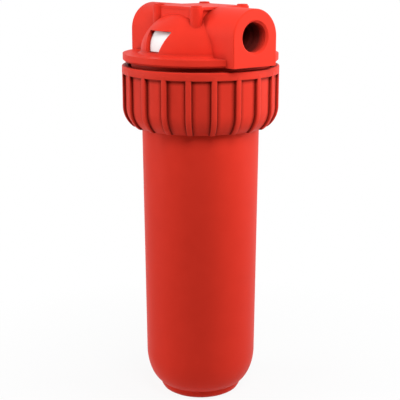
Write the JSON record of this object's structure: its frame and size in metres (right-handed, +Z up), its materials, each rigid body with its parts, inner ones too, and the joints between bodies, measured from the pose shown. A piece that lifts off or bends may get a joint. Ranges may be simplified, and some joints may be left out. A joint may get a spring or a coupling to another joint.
{
  "type": "water filter housing",
  "caption": "Ten-inch water filter housing: domed head with two pipe ports, ribbed lock ring, deep bowl with a foot, and a pleated cartridge inside.",
  "frame": {"origin": "Middle of the foot's underside, on the bowl's axis.", "axes": "+Z up along the bowl's axis, X along the two pipe ports, Y across them."},
  "size_m": [0.138, 0.1302, 0.3344],
  "materials": {
    "head_plastic": "moulded, satin",
    "ring_plastic": "moulded, satin",
    "bowl_plastic": "moulded, satin",
    "seal_rubber": "smooth",
    "gasket_rubber": "smooth",
    "cap_plastic": "moulded",
    "core_plastic": "moulded",
    "filter_paper": "pleated sheet"
  },
  "bodies": {
    "head": {"head": "head_plastic"},
    "bowl": {"bowl": "bowl_plastic", "bowl_seal": "seal_rubber", "lower_gasket": "gasket_rubber", "lower_end_cap": "cap_plastic", "core_tube": "core_plastic", "pleated_filter": "filter_paper", "upper_end_cap": "cap_plastic", "upper_gasket": "gasket_rubber"},
    "lock_ring": {"lock_ring": "ring_plastic"}
  },
  "joints": [
    {"name": "bowl_drop", "type": "slide", "parent": "head", "child": "bowl", "axis": [0, 0, -1], "range_m": [0, 0.018]},
    {"name": "ring_turn", "type": "hinge", "parent": "bowl", "child": "lock_ring", "pos_m": [0, 0, 0.258], "axis": [0, 0, -1], "range_deg": [0, 1080]}
  ],
  "couplings": [
    {"joint": "bowl_drop", "follows": "ring_turn", "m_per_rad": 0.00095493}
  ]
}
